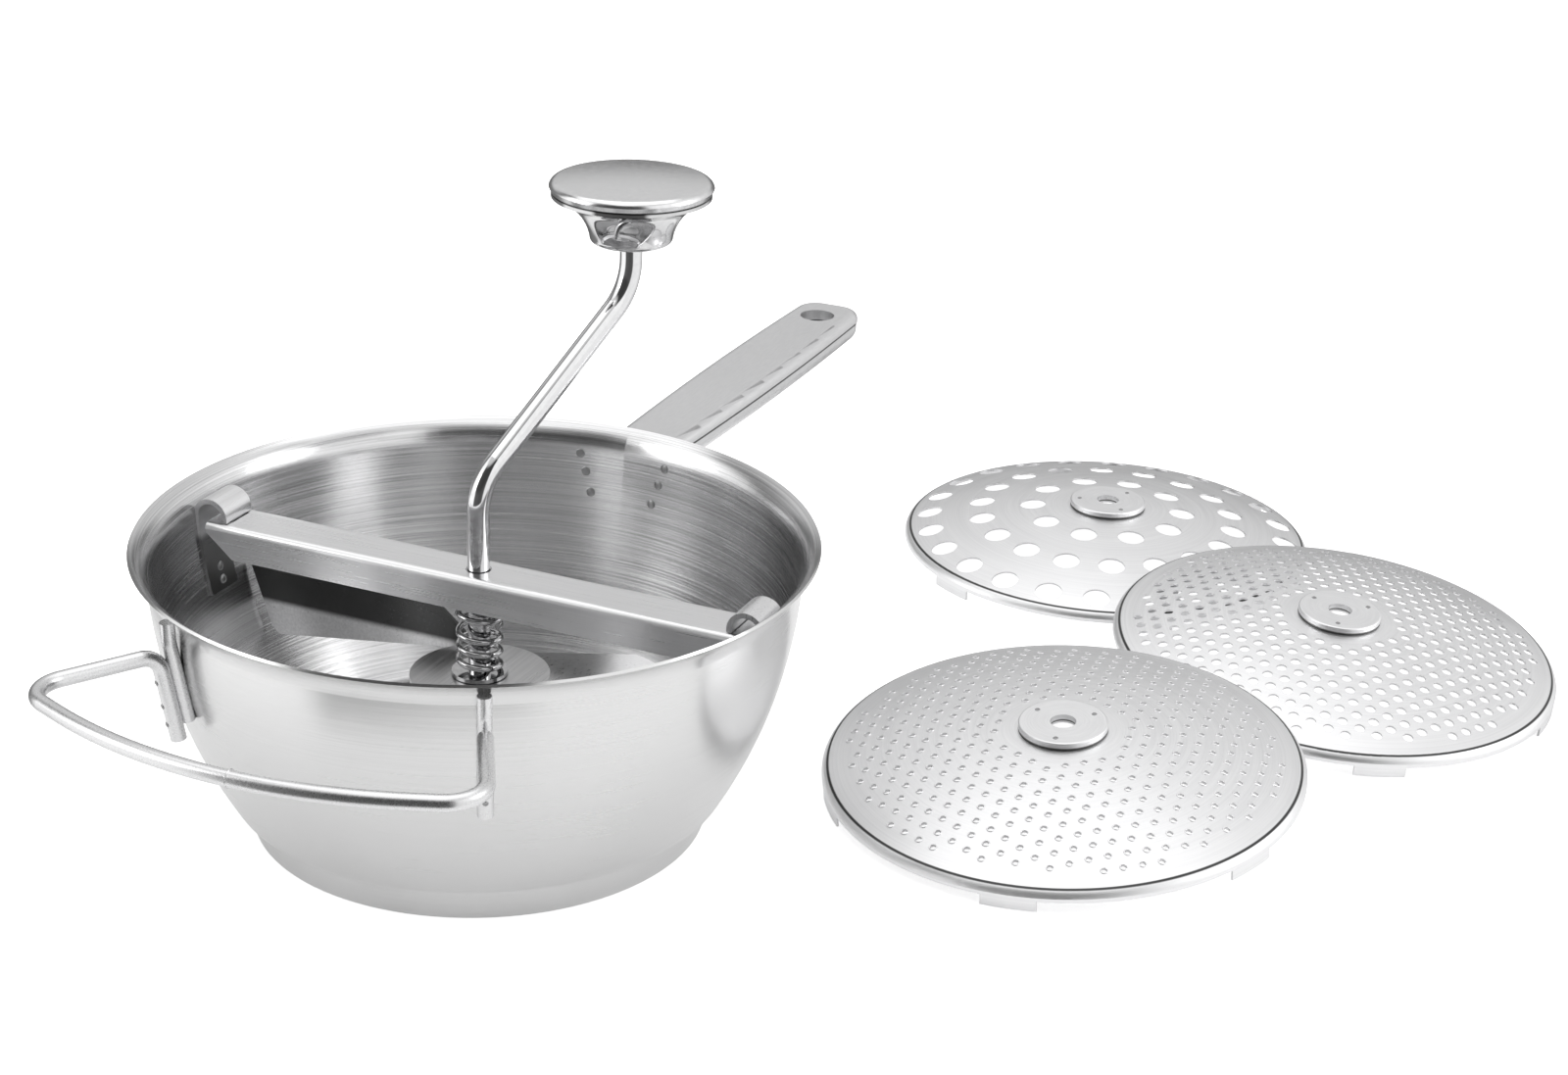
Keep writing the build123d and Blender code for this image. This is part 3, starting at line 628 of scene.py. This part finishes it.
bracketWelds = {
    "spots": ((0.0180, 0.095), (0.0155, 0.088), (0.0130, 0.080)),  # side and height
    "inside": 0.08,  # a place within the bowl's wall, from which the wall is looked for
}
bowlSpots = []
for side, height in bracketWelds["spots"]:
    for sign in (1, -1):
        start = (bracketWelds["inside"], sign * side, height)
        bowlSpots.append(spotOn("bowl", start, (1, 0, 0)))
stampRings("bracketSpotWelds", bowlSpots, largeWeld, weldSteel, "bowl")

hookWelds = {"heights": (0.067, 0.072), "inside": 0.09}
hookSpots = []
for node, sign in (("bar_hook_left", 1), ("bar_hook_right", -1)):
    for height in hookWelds["heights"]:
        hookSpots.append(spotOn(node, (0, sign * hookWelds["inside"], height), (0, sign, 0)))
stampRings("hookSpotWelds", hookSpots, largeWeld, weldSteel, "bowl")

legWelds = {"heights": (0.064, 0.071, 0.080), "angle": 30.3, "outside": 0.15}
legSpots = []
for sign in (1, -1):
    away = outwards(math.radians(180 - sign * legWelds["angle"]))
    for height in legWelds["heights"]:
        start = away * legWelds["outside"] + up * height
        legSpots.append(spotOn("loop_handle", start, -away))
stampRings("legSpotWelds", legSpots, smallWeld, weldSteel, "bowl")

loopBead = {
    "wireRadius": 0.00275,
    "inset": 0.0002,
    "side": -0.008,
    "size": {"ring": 0.00285, "bead": 0.0003, "filled": False},
}
loopLow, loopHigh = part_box("loop_handle")
bowMiddle = Vector((loopLow.x + loopBead["wireRadius"] + loopBead["inset"], loopBead["side"],
                    loopHigh.z - loopBead["wireRadius"]))
stampRings("loopWeldBead", [(bowMiddle, (0, 1, 0))], loopBead["size"], wireSteel, "bowl")

hubWelds = {"radius": 0.0125, "above": 0.03}
for name, disc in discs.items():
    spots = []
    for turn in disc["weldTurns"]:
        edge = disc["centre"] + outwards(math.radians(turn)) * hubWelds["radius"]
        spots.append(spotOn(name + "_disc_hub_plate", edge + up * hubWelds["above"], -up))
    stampRings(name + "HubSpotWelds", spots, smallWeld, weldSteel, name + "_disc")

burrs = {
    "pitch": 0.007,
    "from": 0.022,
    "to": 0.080,
    "domeRise": 0.013,
    "domeEdge": 0.086,
    "hubThickness": 0.0025,
    "size": {"ring": 0.00128, "bead": 0.00026, "filled": False},
}


def latticePlaces(sizes):
    # the same triangular lattice as the holes, as flat places
    places = []
    pitch = sizes["pitch"]
    reach = math.ceil(sizes["to"] / pitch) + 1
    for column in range(-reach, reach + 1):
        along = column * pitch * math.sqrt(3) / 2
        for step in range(-reach, reach + 1):
            across = (step + column % 2 / 2) * pitch
            if sizes["from"] < math.hypot(along, across) < sizes["to"]:
                places.append((along, across))
    return places


domeRadius = (burrs["domeEdge"] ** 2 + burrs["domeRise"] ** 2) / (2 * burrs["domeRise"])
fine = discs["fine"]
burrSpots = []
for along, across in latticePlaces(burrs):
    tilt = math.asin(math.hypot(along, across) / domeRadius)
    normal = outwards(math.atan2(across, along)) * math.sin(tilt) + up * math.cos(tilt)
    place = normal * domeRadius - up * (domeRadius + burrs["hubThickness"])
    burrSpots.append((fine["centre"] + fine["axes"] @ place, fine["axes"] @ normal))
fineSteel = bpy.data.materials["fineDiscSteel"]
stampRings("fineBurrs", burrSpots, burrs["size"], fineSteel, "fine_disc")
print("welds and burrs")

# floor and light

# brightness of the studio by the angle from the camera's side, in turns to its right
wallBands = (
    (0.00, 0.10), (0.055, 0.12), (0.085, 1.15), (0.25, 1.20), (0.38, 0.85), (0.44, 0.18),
    (0.56, 0.18), (0.68, 0.30), (0.715, 1.4), (0.84, 1.4), (0.87, 0.14), (1.00, 0.10),
)
highBands = (
    (0.00, 0.06), (0.060, 0.08), (0.085, 1.30), (0.30, 1.30), (0.36, 0.95), (0.42, 0.82),
    (0.60, 0.82), (0.69, 0.20), (0.73, 1.45), (0.83, 1.45), (0.85, 0.08), (1.00, 0.06),
)

stageSetup = {
    "floorSize": 12.0,
    "floorShade": 0.86,
    "floorRoughness": 0.9,
    "floorShine": 0.1,
    "floorGlow": (0.22, 0.66),  # as the metal sees it, and as the camera sees it
    "tableCentre": (0.06, -0.06, 0.0),
    # polished metal sees the white table this far out, and the dark studio beyond it
    "tableReach": (0.26, 0.40),
    "studioStrength": 0.9,
    "wallTop": (0.12, 0.32),  # where the high bands take over, as the sine of the elevation
    "ceilingEdge": (0.72, 0.86),
    "ceilingShade": 0.85,
    "backdropShade": 0.93,
    "softboxAim": (0.1, -0.1, 0.05),
    "softboxes": (
        # name, place, size, power
        ("overheadBox", (0.3, 0.2, 2.2), 2.4, 14.0),
        ("leftBox", (-1.3, 1.7, 1.1), 1.0, 9.0),
        ("rightBox", (0.7, -2.1, 1.1), 1.0, 9.0),
    ),
}


def addFloor(setup):
    half = setup["floorSize"] / 2
    corners = [(-half, -half, 0), (half, -half, 0), (half, half, 0), (-half, half, 0)]
    mesh = bpy.data.meshes.new("studioFloor")
    mesh.from_pydata(corners, [], [(0, 1, 2, 3)])
    floor = bpy.data.objects.new("studioFloor", mesh)
    scene.collection.objects.link(floor)
    material, tree, shader = newMaterial("paleFloor")
    shader.inputs["Base Color"].default_value = grey(setup["floorShade"])
    shader.inputs["Roughness"].default_value = setup["floorRoughness"]
    shader.inputs["Specular IOR Level"].default_value = setup["floorShine"]
    shader.inputs["Emission Color"].default_value = grey(1.0)
    place = tree.nodes.new("ShaderNodeTexCoord")
    away = tree.nodes.new("ShaderNodeVectorMath")
    away.operation = "DISTANCE"
    away.inputs[1].default_value = setup["tableCentre"]
    tree.links.new(place.outputs["Object"], away.inputs[0])
    edge = fade(tree, away.outputs["Value"], *setup["tableReach"])
    ray = tree.nodes.new("ShaderNodeLightPath")
    glow = tree.nodes.new("ShaderNodeMapRange")
    glow.inputs["To Min"].default_value, glow.inputs["To Max"].default_value = setup["floorGlow"]
    tree.links.new(ray.outputs["Is Camera Ray"], glow.inputs["Value"])
    tree.links.new(glow.outputs["Result"], shader.inputs["Emission Strength"])
    passing = mathNode(tree, "MULTIPLY", ray.outputs["Is Glossy Ray"], edge)
    clear = tree.nodes.new("ShaderNodeBsdfTransparent")
    blend = tree.nodes.new("ShaderNodeMixShader")
    tree.links.new(passing, blend.inputs["Fac"])
    tree.links.new(shader.outputs[0], blend.inputs[1])
    tree.links.new(clear.outputs[0], blend.inputs[2])
    tree.links.new(blend.outputs[0], tree.nodes["Material Output"].inputs["Surface"])
    mesh.materials.append(material)


def addSoftbox(name, place, size, power, aim):
    data = bpy.data.lights.new(name, "AREA")
    data.shape = "SQUARE"
    data.size = size
    data.energy = power
    light = bpy.data.objects.new(name, data)
    scene.collection.objects.link(light)
    light.location = place
    heading = Vector(aim) - Vector(place)
    light.rotation_euler = heading.to_track_quat("-Z", "Y").to_euler()


def bandRamp(tree, turns, bands):
    ramp = tree.nodes.new("ShaderNodeValToRGB")
    ramp.color_ramp.interpolation = "EASE"
    stops = ramp.color_ramp.elements
    while len(stops) < len(bands):
        stops.new(0.5)
    for stop, (position, level) in zip(stops, bands):
        stop.position = position
        stop.color = grey(level)
    tree.links.new(turns, ramp.inputs["Fac"])
    return ramp.outputs["Color"]


def addStudio(setup):
    world = bpy.data.worlds.new("studio")
    scene.world = world
    world.use_nodes = True
    tree = world.node_tree
    tree.nodes.clear()
    place = tree.nodes.new("ShaderNodeTexCoord")
    turned = tree.nodes.new("ShaderNodeMapping")
    behind = -Vector(cameraSetup["forward"])
    turned.inputs["Rotation"].default_value = (0, 0, -math.atan2(behind.y, behind.x))
    parts = tree.nodes.new("ShaderNodeSeparateXYZ")
    tree.links.new(place.outputs["Generated"], turned.inputs["Vector"])
    tree.links.new(turned.outputs[0], parts.inputs[0])
    angle = mathNode(tree, "ARCTAN2", parts.outputs["Y"], parts.outputs["X"])
    turns = mathNode(tree, "FRACT", mathNode(tree, "DIVIDE", angle, 2 * math.pi), 0.0)
    room = colourMix(tree, fade(tree, parts.outputs["Z"], *setup["wallTop"]),
                     bandRamp(tree, turns, wallBands), bandRamp(tree, turns, highBands))
    whole = colourMix(tree, fade(tree, parts.outputs["Z"], *setup["ceilingEdge"]),
                      room, grey(setup["ceilingShade"]))
    background = tree.nodes.new("ShaderNodeBackground")
    background.inputs["Strength"].default_value = setup["studioStrength"]
    tree.links.new(whole, background.inputs["Color"])
    backdrop = tree.nodes.new("ShaderNodeBackground")
    backdrop.inputs["Color"].default_value = grey(setup["backdropShade"])
    ray = tree.nodes.new("ShaderNodeLightPath")
    seen = tree.nodes.new("ShaderNodeMixShader")  # the camera sees only the plain backdrop
    tree.links.new(ray.outputs["Is Camera Ray"], seen.inputs["Fac"])
    tree.links.new(background.outputs[0], seen.inputs[1])
    tree.links.new(backdrop.outputs[0], seen.inputs[2])
    output = tree.nodes.new("ShaderNodeOutputWorld")
    tree.links.new(seen.outputs[0], output.inputs["Surface"])


addFloor(stageSetup)
for softbox in stageSetup["softboxes"]:
    addSoftbox(*softbox, stageSetup["softboxAim"])
addStudio(stageSetup)
scene.view_settings.view_transform = "Standard"
print("floor and light")
